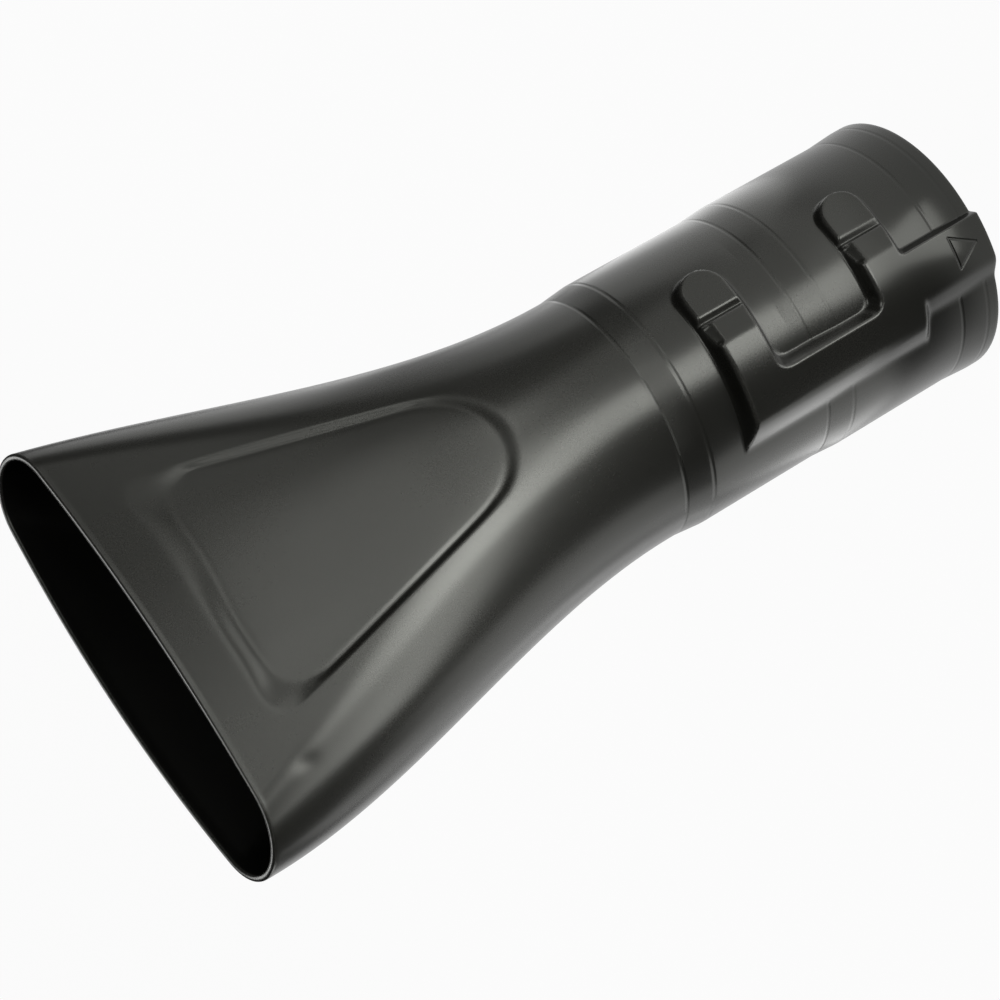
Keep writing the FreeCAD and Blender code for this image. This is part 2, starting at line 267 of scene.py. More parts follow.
def flare_point(angle, share, inset):
    """X, Y and Z of the flare at a column's angle and a share of its length, set in by the inset.

    Width grows with share squared times a falling line, height falls with share cubed. The broad arc's
    radius follows from the end arc's by tangency, and the least drop keeps it finite where the section is
    round. A section is turned about X by the lean and moved to its place on the centre line.
    """
    widening = share ** 2 * (WIDTH_EASE - (WIDTH_EASE - 1) * share)
    half_width = NECK + (MOUTH_HALF_WIDTH - NECK) * widening - inset
    half_height = NECK + (MOUTH_HALF_HEIGHT - NECK) * share ** 3 - inset
    lean = np.radians(MOUTH_TILT) * share ** 1.5
    front = np.abs(angle) <= 90
    ratio = np.sin(np.radians(np.where(front, np.abs(angle), 180 - np.abs(angle))))
    edge = np.sin(np.radians(PANEL_ANGLE))
    middle = SOCKET_LENGTH + FLARE_LENGTH * share
    side = panel_half_width(middle - half_height * np.sin(lean)) - inset * edge
    past_side = side + (half_width - side) * (ratio - edge) / (1 - edge)
    across = np.where(ratio < edge, side * ratio / edge, past_side)
    end_radius = np.where(front, FRONT_END_RADIUS, BACK_END_RADIUS)
    drop = np.maximum(MOUTH_HALF_HEIGHT - end_radius, 0) * share + LEAST_DROP
    flank = half_height - drop
    reach = half_width - flank
    broad = (reach ** 2 + half_height ** 2 - flank ** 2) / (2 * drop)
    join = broad * reach / np.hypot(reach, broad - half_height)
    on_broad = np.sqrt(np.maximum(broad ** 2 - across ** 2, 0)) - (broad - half_height)
    on_flank = np.sqrt(np.maximum(flank ** 2 - (across - reach) ** 2, 0))
    off = np.where(across < join, on_broad, on_flank) * np.where(front, -1, 1)
    x = -np.sign(angle) * across
    y = -MOUTH_RISE * share ** 3 + off * np.cos(lean)
    return x, y, middle + off * np.sin(lean)


tip_x, tip_y, tip_z = flare_point(np.array([0.0, 90.0, 180.0]), np.array(1.0), 0.0)
print("mouth: front lip z", tip_z[0].round(1), "side x", tip_x[1].round(1), "back lip z", tip_z[2].round(1))

# %% [markdown]
# ## The recessed panel
# A rounded triangle is pressed into the flat side of the flare, to stiffen it. Its long walls are steep,
# with a shallow gutter at their foot, and its neck end is softer. Towards the mouth the floor climbs out: in
# the middle it comes nearer to the face, and at the two corners it ends in a small scoop. A depth worked out
# from the distance to the triangle's outline gives all of these, if the width of the wall changes with
# height. The floor is flatter than the face around it, so it is a little deeper in the middle.

# %% Depth of the panel, and a small dent from the mould
PANEL_END = 244.0
PANEL_NECK = 167.0
PANEL_OFFSET = 0.6
PANEL_CORNER = 9.0
PANEL_BLEND = 30.0
PANEL_DEPTH = (1.6, 1.0)
PANEL_SAG = 0.6
PANEL_WALL = (1.7, 2.0)
WALL_EXTRA = [(140.0, 7.0), (152.0, 5.0), (167.0, 0.0), (226.0, 0.0), (238.0, 8.0), (250.0, 9.0)]
EXTRA_ROUND = 2.0
EXTRA_SHARE = (0.5, 1.0)
WALL_SOFT = 0.3
RAMP_SOFT = 0.5
GUTTER = 0.28
GUTTER_WIDTH = 1.7
SIDE_FADE = [(130.0, 0.05), (149.0, 0.22), (176.0, 1.0), (215.0, 1.0), (240.0, 0.65), (260.0, 0.65)]
MIDDLE_FADE = [(130.0, 0.05), (149.0, 0.22), (176.0, 1.0), (205.0, 1.0), (238.0, 0.42), (260.0, 0.42)]
FADE_ROUND = 6.0
CORNER_SPAN = (0.5, 0.4)
SCOOP_SPAN = (222.0, 12.0)
DENT = (-51.5, 243.3, 2.0, 3.2, 0.16)
FACING_LIMIT = 80.0


def panel_inside(x, z):
    """Distance from the panel's outline, positive inside it.

    The outline is two straight sides and an arc that both touch. Below the two touching points, measured
    along a side, the distance is the arc's radius less the distance to its centre.
    """
    start, width, spread = PANEL_SIDE
    width = width + PANEL_OFFSET
    turn = np.arctan(spread)
    sides = (width + spread * (z - start) - np.abs(x)) * np.cos(turn)
    radius = (width + spread * (PANEL_NECK - start)) * np.cos(turn)
    along = (z - PANEL_NECK) * np.cos(turn) + np.abs(x) * np.sin(turn)
    inside = np.where(along < 0, radius - np.hypot(x, z - PANEL_NECK), sides)
    return soft_least(inside, PANEL_END - z, PANEL_CORNER)


def panel_depth(x, z):
    """Depth below the face: the distance inside the outline over the wall's width, eased, times the depth.

    Narrow walls follow a straight line with soft ends, wide ones a smooth step, and the scoops at the
    corners a ramp that starts with a crisp edge.
    """
    x = x + PANEL_OFFSET
    inside = panel_inside(x, z)
    sideways = smooth_step(0.5 + x / PANEL_BLEND)
    aside = np.abs(x) / np.maximum(panel_half_width(z), 1)
    corner = smooth_step((aside - CORNER_SPAN[0]) / CORNER_SPAN[1])
    steep = mix(*PANEL_WALL, sideways)
    width = steep + np.maximum(bent_line(z, WALL_EXTRA, EXTRA_ROUND), 0) * mix(*EXTRA_SHARE, sideways)
    straight = soft_least(soft_most(inside / width, 0 * inside, WALL_SOFT), 1 + 0 * inside, WALL_SOFT)
    scoop = smooth_step((z - SCOOP_SPAN[0]) / SCOOP_SPAN[1]) * corner
    ramp = soft_least(np.maximum(inside / width, 0), 1 + 0 * inside, RAMP_SOFT)
    eased = ramp * scoop + smooth_step(inside / width) * (1 - scoop)
    reached = straight * steep / width + eased * (1 - steep / width)
    sag = PANEL_SAG * np.clip(1 - aside ** 2, 0, 1)
    gutter = GUTTER * steep / width * (1 - smooth_step((inside - width) / GUTTER_WIDTH))
    side_fade = bent_line(z, SIDE_FADE, FADE_ROUND)
    middle_fade = bent_line(z, MIDDLE_FADE, FADE_ROUND)
    fade = side_fade * corner + middle_fade * (1 - corner)
    return (mix(*PANEL_DEPTH, sideways) + sag + gutter) * fade * reached


def dent_depth(x, z):
    """A shallow bell-shaped dent at one place."""
    at_x, at_z, wide, high, deep = DENT
    return deep * np.exp(-((x - at_x) / wide) ** 2 - ((z - at_z) / high) ** 2)


def flare_surface(angle, share, inset):
    """Flare with its panel: on the front, points move in along Y by the panel's depth."""
    x, y, z = flare_point(angle, share, inset)
    facing = np.abs(angle) < FACING_LIMIT
    return x, y + np.where(facing, panel_depth(x, z) + dent_depth(x, z), 0), z


print("panel depth in the middle:", panel_depth(np.array(0.0), np.array(200.0)).round(2), "mm")

# %% [markdown]
# ## Rows and columns
# The skin will be one grid. Its columns go round the axis and its rows go up the outside, over the mouth's
# lip, down the inside and back under the rim. Rows and columns sit close together where walls and corners
# need them, and wide apart on the plain back. Each stop below is a place and the step used after it.


# %% Rows and columns of the grid
def spaced(stops):
    """Numbers from the first stop to the last, evenly spaced within each stretch by about its step."""
    runs = []
    for (start, step), (end, _) in zip(stops, stops[1:]):
        count = max(2, int(round((end - start) / step)) + 1)
        runs.append(np.linspace(start, end, count)[:-1])
    return np.concatenate(runs)


around_stops = [
    (-180, 3.2), (-100, 2.3), (-34, 1.0), (-27, 0.42), (-PANEL_ANGLE, 0.42), (-22, 1.0), (-15, 0.66),
    (NOTCH[0], 0.42), (NOTCH[1], 0.42), (NOTCH[2], 0.75), (20.2, 0.4), (ENTRY_START[1], 0.35),
    (PANEL_ANGLE, 0.42), (27, 0.66), (STEM_START[0], 0.4), (STEM_START[1], 0.63),
    (ENTRY_END[1], 0.86), (STEM_END[1], 0.8), (57, 1.2), (75, 3.0), (180, 0),
]
angle = spaced(around_stops)[None, :]
arm_foot, arm_crown = ARM_HALF_WIDTH
upward_stops = [(0.5, 0.8)]
for middle, waist in zip(ARM_MIDDLES, WAISTS[1:]):
    upward_stops += [(middle - arm_foot, 0.48), (middle - arm_crown, 0.6)]
    upward_stops += [(middle + arm_crown, 0.48), (middle + arm_foot, 0.8)]
    upward_stops += [(waist - WAIST_WIDTH / 2, 0.63), (waist + WAIST_WIDTH / 2, 0.8)]
socket_z = spaced(upward_stops + [(SOCKET_LENGTH, 0)])[:, None]
flare_stops = [(0, 1.5), (32, 0.9), (57, 1.8), (120, 0.8), (145, 1.0), (FLARE_LENGTH, 0)]
flare_share = np.append(spaced(flare_stops), FLARE_LENGTH)[:, None] / FLARE_LENGTH
duct_stops = [(0, 7.0), (120, 3.5), (FLARE_LENGTH, 0)]
duct_share = np.append(spaced(duct_stops), FLARE_LENGTH)[::-1, None] / FLARE_LENGTH
bore_z = spaced([(0.5, 3.4), (SOCKET_LENGTH, 0)])[::-1, None]
print("columns", angle.size, "rows outside", socket_z.size + flare_share.size)
print("rows inside", duct_share.size + bore_z.size)

# %% [markdown]
# ## Points of the skin
# The formulas now give all points of the outside and the inside as whole arrays. A Solidify modifier could
# make the wall, but the bore isn't quite the outside moved in, so the inside has rows of its own. Two short
# sets of rows join them: a rounded lip round the mouth, which catches a thin line of light, and the trimmed
# rim of the socket.


# %% Points of the skin, in millimetres
def turned(radius, z):
    """Points at a radius about the axis, for every column and row."""
    across = np.radians(angle)
    return np.stack([-radius * np.sin(across), -radius * np.cos(across), z + 0 * radius], -1)


def between(outer, inner, steps, way):
    """Rows from one row to another: each step is a share of the way across and a lift along a direction."""
    thick = inner - outer
    return np.stack([outer + share * thick + lift * way for share, lift in steps])


OUTSIDE, EDGE, INSIDE = 0.0, 0.5, 1.0
LIP_STEPS = [(0.02, 0.36), (0.07, 0.60), (0.15, 0.70), (0.85, 0.74), (0.97, 0.40)]
RIM_STEPS = [(0.04, 0.3), (0.2, 0.5), (0.8, 0.5), (0.96, 0.3)]
lip_up = np.array([0.0, -np.sin(np.radians(MOUTH_TILT)), np.cos(np.radians(MOUTH_TILT))])
down = np.array([0.0, 0.0, -1.0])
outside = turned(socket_outside(angle, socket_z), socket_z)
flare = np.stack(flare_surface(angle, flare_share, 0.0), -1)
duct = np.stack(flare_surface(angle, duct_share, WALL), -1)
bore = turned(socket_inside(angle, bore_z), bore_z)
lip = between(flare[-1], duct[0], LIP_STEPS, lip_up)
rim = between(bore[-1], outside[0], RIM_STEPS, down)
parts = (outside, flare, lip, duct, bore, rim)
skin = np.concatenate(parts)
kinds = (OUTSIDE, OUTSIDE, EDGE, INSIDE, INSIDE, EDGE)
row_kind = np.repeat(kinds, [len(part) for part in parts])
skin_points = skin.reshape(-1, 3)
print("skin", skin.shape, "box in mm", skin_points.min(0).round(1), skin_points.max(0).round(1))

# %% [markdown]
# ## One closed skin
# The last row joins the first and the last column joins the first, so the skin closes on itself both ways
# like a ring doughnut, and no seam is left open. All faces turn outward. The finished piece rides on the
# part's one body and takes the place of its solid.


# %% Mesh of the skin
def closed_grid(name, points):
    """Mesh from a grid that closes both ways: each face joins a point to the next row and column."""
    rows, columns = points.shape[:2]
    index = np.arange(rows * columns).reshape(rows, columns)
    following = np.roll(index, -1, 0)
    faces = np.stack([index, following, np.roll(following, -1, 1), np.roll(index, -1, 1)], -1).reshape(-1, 4)
    mesh = bpy.data.meshes.new(name)
    mesh.vertices.add(points.size // 3)
    mesh.vertices.foreach_set("co", (points * MM).astype(np.float32).ravel())
    mesh.loops.add(faces.size)
    mesh.loops.foreach_set("vertex_index", faces.ravel().astype(np.int32))
    mesh.polygons.add(len(faces))
    mesh.polygons.foreach_set("loop_start", np.arange(0, faces.size, 4, dtype=np.int32))
    mesh.polygons.foreach_set("use_smooth", np.ones(len(faces), bool))
    mesh.update(calc_edges=True)
    mesh.validate()
    return mesh


mesh = closed_grid("nozzle_skin", skin)
nozzle = bpy.data.objects.new("nozzle_skin", mesh)
bpy.context.scene.collection.objects.link(nozzle)
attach(nozzle, "root")
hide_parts("nozzle_tube")
facing = [round(v, 2) for v in mesh.polygons[angle.size // 2].normal]
print("triangles", 2 * len(mesh.polygons), "a face at the front of the rim points to", facing)

# %% [markdown]
# ## What each point knows
# The finish isn't the same all over. The outside touched the mould and is glossier than the inside, outer
# edges get a painted highlight, a lighter colour, and a little polish, and the waists' creases run round the
# socket but stop at the track. The grid knows all this, so each point carries three numbers. A UV map unrolls
# the skin: across is the length along the crown, up is the height, both in metres, so a mark can be drawn on
# the track at its real size.

# %% Attributes of the skin
EDGE_SPAN = (0.10, 0.30)
TRACK_SPAN = 0.8


def sharpness(points):
    """Smooth step, 0 on plain faces and 1 on outer edges, of how far a point stands out.

    That is twice its rise above the middle of two neighbours, over half the distance between them.
    """
    most = 0
    over = np.roll(points, -1, 1) - np.roll(points, 1, 1)
    along = np.roll(points, -1, 0) - np.roll(points, 1, 0)
    normal = np.cross(along, over)
    normal /= np.maximum(np.linalg.norm(normal, axis=-1, keepdims=True), 1e-9)
    for way in (0, 1):
        before, after = np.roll(points, 1, way), np.roll(points, -1, way)
        rise = ((points - (before + after) / 2) * normal).sum(-1)
        most = np.maximum(most, 2 * rise / np.maximum(np.linalg.norm(after - before, axis=-1) / 2, 1e-9))
    return smooth_step((most - EDGE_SPAN[0]) / EDGE_SPAN[1])


def point_value(name, values):
    """Stores one number for each point of the skin."""
    made = mesh.attributes.new(name, "FLOAT", "POINT")
    made.data.foreach_set("value", values.astype(np.float32).ravel())


point_value("inside", np.repeat(row_kind, angle.size))
# The edge value later paints a highlight on outer edges in the colour, and smooths their roughness a little.
point_value("edge", sharpness(skin))
ring = np.zeros(skin.shape[:2])
stands_out = track_radius(angle, socket_z) - socket_radius(socket_z)
ring[:socket_z.size] = 1 - smooth_step(stands_out / TRACK_SPAN + 0.5)
point_value("turned_run", ring)
around = arc(np.append(angle[0], 180.0)) * MM
up = skin[..., 2] * MM
u = np.stack([around[:-1], around[:-1], around[1:], around[1:]], -1)[None].repeat(len(skin), 0)
v = np.stack([up, np.roll(up, -1, 0), np.roll(np.roll(up, -1, 1), -1, 0), np.roll(up, -1, 1)], -1)
unrolled = mesh.uv_layers.new(name="unrolled")
unrolled.data.foreach_set("uv", np.stack([u, v], -1).astype(np.float32).ravel())
print("unrolled length round the crown:", round(float(around[-1] - around[0]) / MM, 1), "mm")

# %% [markdown]
# ## Helpers for materials
# Materials are small graphs of nodes. A few short functions keep their code readable: one makes a node with
# its settings, two do sums on numbers and on vectors, and one starts a node group, which is a graph with its
# own inputs and outputs that can be used again.


# %% Functions that make nodes
def link(tree, source, target):
    """Joins an output to an input."""
    tree.links.new(source, target)


def node(tree, kind, **settings):
    """New node with its settings; names of inputs go in as words with spaces replaced by underscores."""
    made = tree.nodes.new(kind)
    for name, value in settings.items():
        if hasattr(made, name):
            setattr(made, name, value)
        else:
            made.inputs[name.replace("_", " ")].default_value = value
    return made


def maths(tree, operation, first, second=None):
    """Math node: each of its two values is a number or another node's output."""
    made = tree.nodes.new("ShaderNodeMath")
    made.operation = operation
    for socket, value in zip(made.inputs, (first, second)):
        if value is None:
            continue
        if isinstance(value, (int, float)):
            socket.default_value = value
        else:
            link(tree, value, socket)
    return made.outputs[0]


def vector_maths(tree, operation, first, second=None):
    """Vector Math node on two outputs."""
    made = tree.nodes.new("ShaderNodeVectorMath")
    made.operation = operation
    link(tree, first, made.inputs[0])
    if second is not None:
        link(tree, second, made.inputs[1])
    return made


def step_range(tree, value, start, end, **settings):
    """Smooth rise from 0 at the start to 1 at the end; other ends go in as settings."""
    made = node(tree, "ShaderNodeMapRange", interpolation_type="SMOOTHSTEP", From_Min=start, From_Max=end,
                **settings)
    link(tree, value, made.inputs["Value"])
    return made.outputs["Result"]


def blend(tree, share, first, second):
    """Mix of two colours by a share; the first is a colour or another node's output."""
    made = node(tree, "ShaderNodeMix", data_type="RGBA")
    link(tree, share, made.inputs["Factor"])
    if isinstance(first, tuple):
        made.inputs["A"].default_value = first
    else:
        link(tree, first, made.inputs["A"])
    made.inputs["B"].default_value = second
    return made.outputs["Result"]


def group_tree(name, inputs, outputs):
    """Shader node group with float or vector inputs and float outputs."""
    tree = bpy.data.node_groups.new(name, "ShaderNodeTree")
    for label, kind in inputs:
        tree.interface.new_socket(label, in_out="INPUT", socket_type=kind)
    for label in outputs:
        tree.interface.new_socket(label, in_out="OUTPUT", socket_type="NodeSocketFloat")
    return tree, tree.nodes.new("NodeGroupInput"), tree.nodes.new("NodeGroupOutput")


helpers = (link, node, maths, vector_maths, step_range, blend, group_tree)
print("helpers", [helper.__name__ for helper in helpers])

# %% [markdown]
# ## Grain of the mould
# The part is dyed polyethylene, nearly black with a trace of olive. What you see of it is mostly sheen: a
# broad soft reflection, broken up by the very fine grain of the mould. A second, wide noise, drawn out along
# the axis, makes the sheen uneven, as it is where plastic flowed down the mould. A picture of grain would
# need a seam somewhere. Noise worked out in space needs none, and one node group gives both kinds.

# %% Mould grain as a node group
grain, grain_in, grain_out = group_tree("mould_grain", [("Place", "NodeSocketVector")], ["Fine", "Flow"])
fine = node(grain, "ShaderNodeTexNoise", Scale=1500.0, Detail=3.0, Roughness=0.6)
flow = node(grain, "ShaderNodeTexNoise", Scale=38.0, Detail=4.0, Roughness=0.55)
stretch = node(grain, "ShaderNodeMapping", Scale=(1.0, 1.0, 0.35))
link(grain, grain_in.outputs["Place"], fine.inputs["Vector"])
link(grain, grain_in.outputs["Place"], stretch.inputs["Vector"])
link(grain, stretch.outputs["Vector"], flow.inputs["Vector"])
link(grain, fine.outputs["Fac"], grain_out.inputs["Fine"])
link(grain, flow.outputs["Fac"], grain_out.inputs["Flow"])
print("group", grain.name, "puts out", [s.name for s in grain.interface.items_tree if s.in_out == "OUTPUT"])

# %% [markdown]
# ## The arrow on the track
# A small triangle engraved on the entry points to the rim, where the pins go in. Its lines are about half a
# millimetre wide, no wider than a cell of the grid, so it is drawn in the material: a group gives the
# distance from a point of the unrolled skin to a straight line between two points, and the nearest of three
# lines makes a groove.

# %% Distance to a line as a node group
ruled_inputs = [(label, "NodeSocketVector") for label in ("Place", "From", "To")]
ruled, ruled_in, ruled_out = group_tree("distance_to_line", ruled_inputs, ["Distance"])
way = vector_maths(ruled, "SUBTRACT", ruled_in.outputs["To"], ruled_in.outputs["From"]).outputs["Vector"]
off = vector_maths(ruled, "SUBTRACT", ruled_in.outputs["Place"], ruled_in.outputs["From"]).outputs["Vector"]
along_way = vector_maths(ruled, "DOT_PRODUCT", off, way).outputs["Value"]
way_squared = vector_maths(ruled, "DOT_PRODUCT", way, way).outputs["Value"]
held = node(ruled, "ShaderNodeClamp")
link(ruled, maths(ruled, "DIVIDE", along_way, way_squared), held.inputs["Value"])
foot = vector_maths(ruled, "SCALE", way)
link(ruled, held.outputs["Result"], foot.inputs["Scale"])
apart = vector_maths(ruled, "SUBTRACT", off, foot.outputs["Vector"]).outputs["Vector"]
link(ruled, vector_maths(ruled, "LENGTH", apart).outputs["Value"], ruled_out.inputs["Distance"])
print("group", ruled.name, "has", len(ruled.nodes), "nodes")

# %% [markdown]
# ## Where the plastic changes
# The material first finds out where it is: near a line of the arrow, near an edge of a waist, on an outer
# edge, which gets a painted highlight, or inside. The waists are evenly spaced, so the height is wrapped by
# their pitch, and one crease at a fixed distance from the wrapped middle draws all of them.

# %% Masks of the plastic
MARK = ((33.0, 4.5), (26.8, 12.3), (39.5, 12.3))
MARK_LINE = 0.56
CREASE_HALF = 0.9
OUTSIDE_LIMIT = (OUTSIDE + EDGE) / 2
INSIDE_LIMIT = (EDGE + INSIDE) / 2
plastic = bpy.data.materials.new("satin_black_moulding")
plastic.use_nodes = True
tree = plastic.node_tree
moulded = node(tree, "ShaderNodeGroup", node_tree=grain)
link(tree, node(tree, "ShaderNodeTexCoord").outputs["Object"], moulded.inputs["Place"])
within = node(tree, "ShaderNodeAttribute", attribute_name="inside").outputs["Fac"]
# Outer edges: a painted highlight in the colour, and a little less roughness.
edge_polish_and_painted_highlight = node(tree, "ShaderNodeAttribute", attribute_name="edge").outputs["Fac"]
turned_here = node(tree, "ShaderNodeAttribute", attribute_name="turned_run").outputs["Fac"]
unroll = node(tree, "ShaderNodeUVMap", uv_map="unrolled").outputs["UV"]

mark_points = [(float(arc(a)) * MM, z * MM, 0.0) for a, z in MARK]
nearest = None
for start, end in zip(mark_points, mark_points[1:] + mark_points[:1]):
    line = node(tree, "ShaderNodeGroup", node_tree=ruled, From=start, To=end)
    link(tree, unroll, line.inputs["Place"])
    distance = line.outputs["Distance"]
    nearest = distance if nearest is None else maths(tree, "MINIMUM", nearest, distance)
groove = step_range(tree, nearest, 0.0, MARK_LINE * MM, To_Min=1.0, To_Max=0.0)
cut = maths(tree, "MULTIPLY", groove, maths(tree, "LESS_THAN", within, OUTSIDE_LIMIT))

height = node(tree, "ShaderNodeSeparateXYZ")
link(tree, unroll, height.inputs["Vector"])
pitch = (WAISTS[1] - WAISTS[0]) * MM
shifted = maths(tree, "SUBTRACT", height.outputs["Y"], WAISTS[0] * MM - pitch / 2)
wrapped = maths(tree, "FLOORED_MODULO", shifted, pitch)
from_waist = maths(tree, "ABSOLUTE", maths(tree, "SUBTRACT", wrapped, pitch / 2))
from_line = maths(tree, "ABSOLUTE", maths(tree, "SUBTRACT", from_waist, WAIST_WIDTH / 2 * MM))
crease = step_range(tree, from_line, 0.0, CREASE_HALF * MM, To_Min=1.0, To_Max=0.0)
ringed = maths(tree, "MULTIPLY", crease, turned_here)
print("arrow of", len(mark_points), "lines, waists", round(pitch / MM, 1), "mm apart")

# %% [markdown]
# ## Satin black
# The colour is very dark, so that the sheen does the drawing. Three mixes in a row vary it: the wide noise
# between two blacks, a duller black inside, and a lighter tone painted on outer edges as a highlight. The
# roughness takes a little of both noises, and the bump adds the grain and sinks the arrow and the creases.

# %% Colour, sheen and bump of the plastic
DEEP_BLACK = (0.0044, 0.0044, 0.0036, 1)
PALE_BLACK = (0.0076, 0.0075, 0.0060, 1)
INSIDE_BLACK = (0.0030, 0.0030, 0.0026, 1)
# A lighter tone painted on outer edges as a highlight.
PAINTED_HIGHLIGHT_TONE = (0.055, 0.055, 0.050, 1)
SHEEN_TINT = (0.985, 1.0, 0.93, 1)
PAINTED_HIGHLIGHT_SHARE = 0.7
ROUGHNESS = 0.19
ROUGH_FLOW, ROUGH_FINE, ROUGH_INSIDE, ROUGH_EDGE = 0.10, 0.05, 0.12, 0.06
GRAIN_HEIGHT = 0.012
CREASE_HEIGHT = 0.3
BUMP_DEPTH = 0.25 * MM
shader = tree.nodes["Principled BSDF"]
shader.inputs["Specular IOR Level"].default_value = 0.5
shader.inputs["IOR"].default_value = 1.5
shader.inputs["Specular Tint"].default_value = SHEEN_TINT

tone = blend(tree, moulded.outputs["Flow"], DEEP_BLACK, PALE_BLACK)
duller = blend(tree, maths(tree, "GREATER_THAN", within, INSIDE_LIMIT), tone, INSIDE_BLACK)
# Painted highlight: outer edges are lightened towards that tone, by the edge value and the fine grain.
painted_edge_highlight = maths(tree, "MULTIPLY", maths(tree, "MULTIPLY", edge_polish_and_painted_highlight, moulded.outputs["Fine"]), PAINTED_HIGHLIGHT_SHARE)
link(tree, blend(tree, painted_edge_highlight, duller, PAINTED_HIGHLIGHT_TONE), shader.inputs["Base Color"])

uneven = maths(tree, "ADD", maths(tree, "MULTIPLY", moulded.outputs["Flow"], ROUGH_FLOW),
               maths(tree, "MULTIPLY", moulded.outputs["Fine"], ROUGH_FINE))
inside_rough = maths(tree, "MULTIPLY", within, ROUGH_INSIDE)
sheen = maths(tree, "ADD", inside_rough, maths(tree, "ADD", uneven, ROUGHNESS))
smoothed = maths(tree, "SUBTRACT", sheen, maths(tree, "MULTIPLY", edge_polish_and_painted_highlight, ROUGH_EDGE))
link(tree, smoothed, shader.inputs["Roughness"])

sunk = maths(tree, "ADD", cut, maths(tree, "MULTIPLY", ringed, CREASE_HEIGHT))
ground = maths(tree, "SUBTRACT", maths(tree, "MULTIPLY", moulded.outputs["Fine"], GRAIN_HEIGHT), sunk)
bump = node(tree, "ShaderNodeBump", Strength=1.0, Distance=BUMP_DEPTH)
link(tree, ground, bump.inputs["Height"])
link(tree, bump.outputs["Normal"], shader.inputs["Normal"])
nozzle.data.materials.append(plastic)
print("material", plastic.name, "with", len(tree.nodes), "nodes")

# %% [markdown]
# ## The floor
# The nozzle stands on its rim, as it would on a bench. The photograph shows it in white, so the floor's pale
# colour is mixed almost fully with white for rays from the camera, and what is left of the colour keeps a
# trace of the shadow. Mirrored and transmitted rays see that white only where the floor lies behind the
# nozzle in the photograph, past two straight lines on the floor. In front of those lines they see the floor
# as it is lit, because a glossy black part that mirrored a white floor all round would look grey.

# %% Floor
FLOOR_HALF = 40.0
FLOOR_TONE = (0.70, 0.70, 0.70, 1)
WHITE_EDGES = (((0.924, 0.382, 0.0), -0.075, -0.045), ((-0.707, 0.707, 0.0), -0.115, -0.081))
WHITE_SHARE = 0.96
floor_corners = [(x * FLOOR_HALF, y * FLOOR_HALF, 0.0) for x, y in ((-1, -1), (1, -1), (1, 1), (-1, 1))]
floor_mesh = bpy.data.meshes.new("floor")
floor_mesh.from_pydata(floor_corners, [], [(0, 1, 2, 3)])
floor = bpy.data.objects.new("floor", floor_mesh)
bpy.context.scene.collection.objects.link(floor)

pale = bpy.data.materials.new("pale_floor")
pale.use_nodes = True
floor_tree = pale.node_tree
matt = floor_tree.nodes["Principled BSDF"]
matt.inputs["Base Color"].default_value = FLOOR_TONE
matt.inputs["Roughness"].default_value = 0.9
matt.inputs["Specular IOR Level"].default_value = 0.1
white = node(floor_tree, "ShaderNodeEmission", Strength=1.0)
spot = node(floor_tree, "ShaderNodeTexCoord").outputs["Object"]
seen = node(floor_tree, "ShaderNodeLightPath").outputs
mirrored = maths(floor_tree, "MAXIMUM", seen["Is Glossy Ray"], seen["Is Transmission Ray"])
for direction, start, end in WHITE_EDGES:
    across = vector_maths(floor_tree, "DOT_PRODUCT", spot)
    across.inputs[1].default_value = direction
    behind = step_range(floor_tree, across.outputs["Value"], start, end)
    mirrored = maths(floor_tree, "MULTIPLY", mirrored, behind)
shown_white = maths(floor_tree, "MAXIMUM", seen["Is Camera Ray"], mirrored)
mixed = node(floor_tree, "ShaderNodeMixShader")
link(floor_tree, maths(floor_tree, "MULTIPLY", shown_white, WHITE_SHARE), mixed.inputs["Fac"])
link(floor_tree, matt.outputs["BSDF"], mixed.inputs[1])
link(floor_tree, white.outputs["Emission"], mixed.inputs[2])
link(floor_tree, mixed.outputs["Shader"], floor_tree.nodes["Material Output"].inputs["Surface"])
floor.data.materials.append(pale)
print("floor", 2 * FLOOR_HALF, "m wide, white share", WHITE_SHARE)

# %% [markdown]
# ## The surroundings
# Past the floor's edge the camera would see the world, so it is white to the camera too. To everything else
# it is a dim even light, which only lifts the deepest shadows.

# %% World
AMBIENT = 0.05
world = bpy.data.worlds.new("studio")
bpy.context.scene.world = world
world.use_nodes = True
world_tree = world.node_tree
background = world_tree.nodes["Background"]
background.inputs["Color"].default_value = (1, 1, 1, 1)
looked_at = node(world_tree, "ShaderNodeLightPath").outputs["Is Camera Ray"]
strength = maths(world_tree, "MAXIMUM", maths(world_tree, "MULTIPLY", looked_at, WHITE_SHARE), AMBIENT)
link(world_tree, strength, background.inputs["Strength"])
print("world", world.name, "with an even light of", AMBIENT)

# %% [markdown]
# ## Soft light
# Seen from above its middle, each plain face of the standing nozzle mirrors a patch of the floor in front of
# it. So a photographer would lay light cards there, and this scene does: flat lamps that face up, on the
# floor or a hand's breadth above it, with the strips one behind the other along a bearing. A few soft boxes
# stand further out, for the upright faces, the lip and the back. Area lamps shine one way and stop no light,
# so the cards leave no shadow.


# %% Lamps
def placement(right, upward, back, place):
    """Matrix whose columns are an object's own right, up and back directions and its place."""
    return Matrix([*zip(right, upward, back, place), (0, 0, 0, 1)])


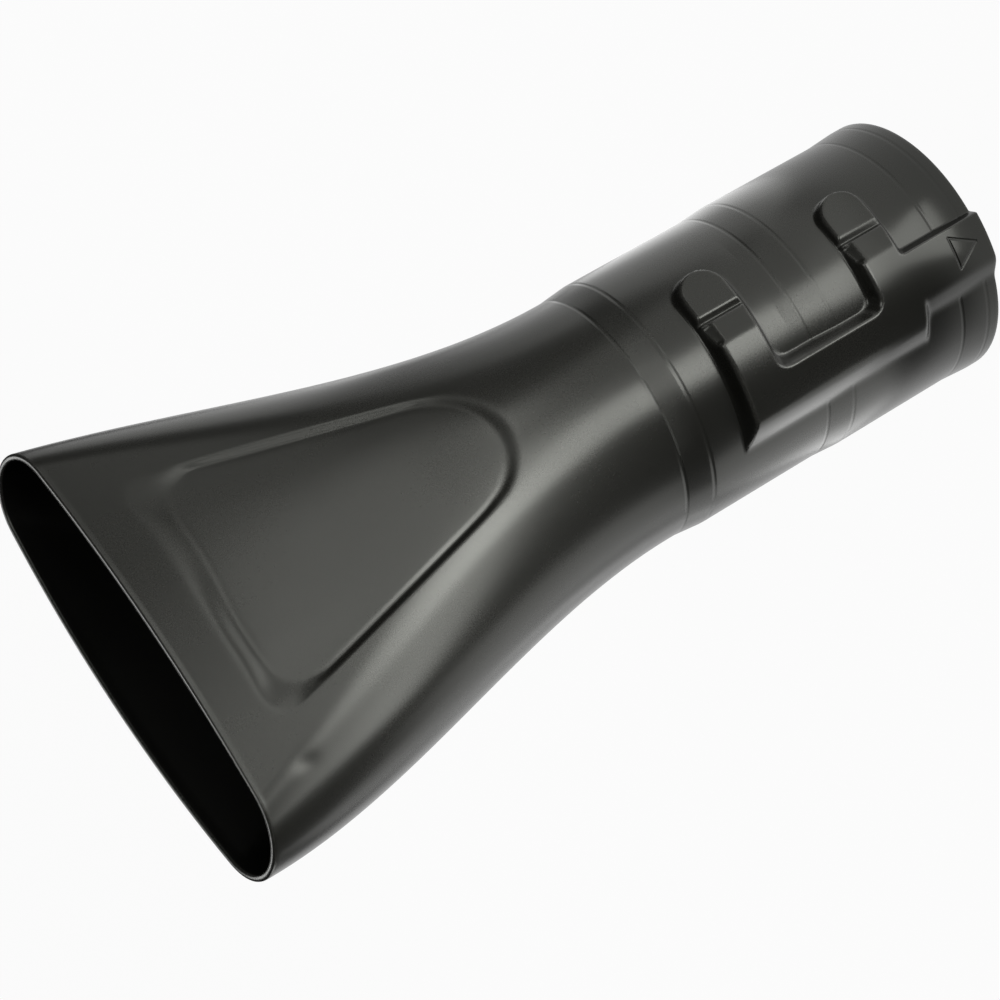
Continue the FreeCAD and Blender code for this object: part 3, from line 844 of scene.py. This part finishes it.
def lamp(name, bearing, distance, height, target, size, radiance):
    """Area lamp at a bearing in degrees from -Y towards +X, aimed at a target, or straight up without one.

    Its power is radiance times area times pi, so a larger lamp is as bright to look at as a small one.
    """
    turn = np.radians(bearing)
    side = np.array((np.cos(turn), np.sin(turn), 0.0))
    place = np.array((distance * np.sin(turn), -distance * np.cos(turn), height))
    light = bpy.data.lights.new(name, "AREA")
    light.shape = "RECTANGLE"
    light.size, light.size_y = size
    light.energy = radiance * np.pi * size[0] * size[1]
    made = bpy.data.objects.new(name, light)
    bpy.context.scene.collection.objects.link(made)
    aim = place + (0, 0, 1) if target is None else np.array(target)
    back = place - aim
    back /= np.linalg.norm(back)
    side -= back * (side @ back)
    side /= np.linalg.norm(side)
    made.matrix_world = placement(side, np.cross(back, side), back, place)
    made.visible_camera = False
    return made


MIDDLE = (0.0, 0.0, 0.13)
LOW = 0.004
RAISED = 0.10
STRIP_BEARING = -21
STRIP_SPREAD = 0.40
STRIPS = [(0.075, 0.045, 2.8), (0.13, 0.06, 5.5), (0.20, 0.075, 7.0), (0.27, 0.06, 8.5), (0.335, 0.07, 8.0)]
lamps = []
for i, (far, deep, radiance) in enumerate(STRIPS):
    lamps.append(lamp("strip_%d" % i, STRIP_BEARING, far, LOW, None, (STRIP_SPREAD * far, deep), radiance))
lamps += [
    lamp("near_card", -38, 0.178, RAISED, None, (0.25, 0.076), 5.0),
    lamp("far_card", -38, 0.260, RAISED, None, (0.25, 0.085), 3.0),
    lamp("corner_card", 13, 0.18, RAISED, None, (0.05, 0.05), 3.5),
    lamp("low_near", 12, 0.23, LOW, None, (0.20, 0.28), 0.8),
    lamp("low_middle", -13, 0.47, LOW, None, (0.22, 0.16), 3.5),
    lamp("low_front", 12, 0.75, LOW, None, (0.38, 0.46), 2.6),
    lamp("low_right", 41, 0.85, LOW, None, (0.40, 0.50), 0.9),
    lamp("side_left", -117, 0.20, LOW, None, (0.18, 0.22), 1.3),
    lamp("far_left", -134, 0.46, LOW, None, (0.22, 0.36), 1.0),
    lamp("side_right", 90, 0.20, LOW, None, (0.26, 0.24), 1.0),
    lamp("far_right", 100, 0.60, LOW, None, (0.40, 0.44), 1.0),
    lamp("front_box", 0, 1.49, 0.22, MIDDLE, (0.42, 0.36), 3.0),
    lamp("left_box", -20, 1.49, 0.14, MIDDLE, (0.34, 0.26), 3.5),
    lamp("high_box", -5, 1.10, 0.85, MIDDLE, (0.50, 0.40), 4.5),
    lamp("back_left", -140, 1.45, 0.30, MIDDLE, (0.60, 0.60), 2.0),
    lamp("back_right", 146, 1.00, 1.20, MIDDLE, (0.50, 0.50), 4.0),
]
print("lamps", [(o.name, round(o.data.energy, 2)) for o in lamps])

# %% [markdown]
# ## The camera
# The photograph shows the nozzle lying across the picture with its mouth to the lower left. The part stands,
# so the camera is rolled until the standing part is seen that way. Its place, its two directions and its
# lens come from fitting the part's outline to the photograph's.

# %% Camera
CAMERA_PLACE = (-0.22487, -0.56508, 0.35412)
CAMERA_RIGHT = np.array((-0.56901, -0.07353, -0.81904))
CAMERA_UP = np.array((0.74685, -0.46305, -0.47728))
CAMERA_LENS = 83.52
camera_data = bpy.data.cameras.new("camera")
camera_data.sensor_width = 36.0
camera_data.lens = CAMERA_LENS
camera = bpy.data.objects.new("camera", camera_data)
bpy.context.scene.collection.objects.link(camera)
camera_back = np.cross(CAMERA_RIGHT, CAMERA_UP)
camera.matrix_world = placement(CAMERA_RIGHT, CAMERA_UP, camera_back, CAMERA_PLACE)
bpy.context.scene.camera = camera
bpy.context.scene.view_settings.view_transform = "Standard"
print("camera at", CAMERA_PLACE, "lens", CAMERA_LENS)
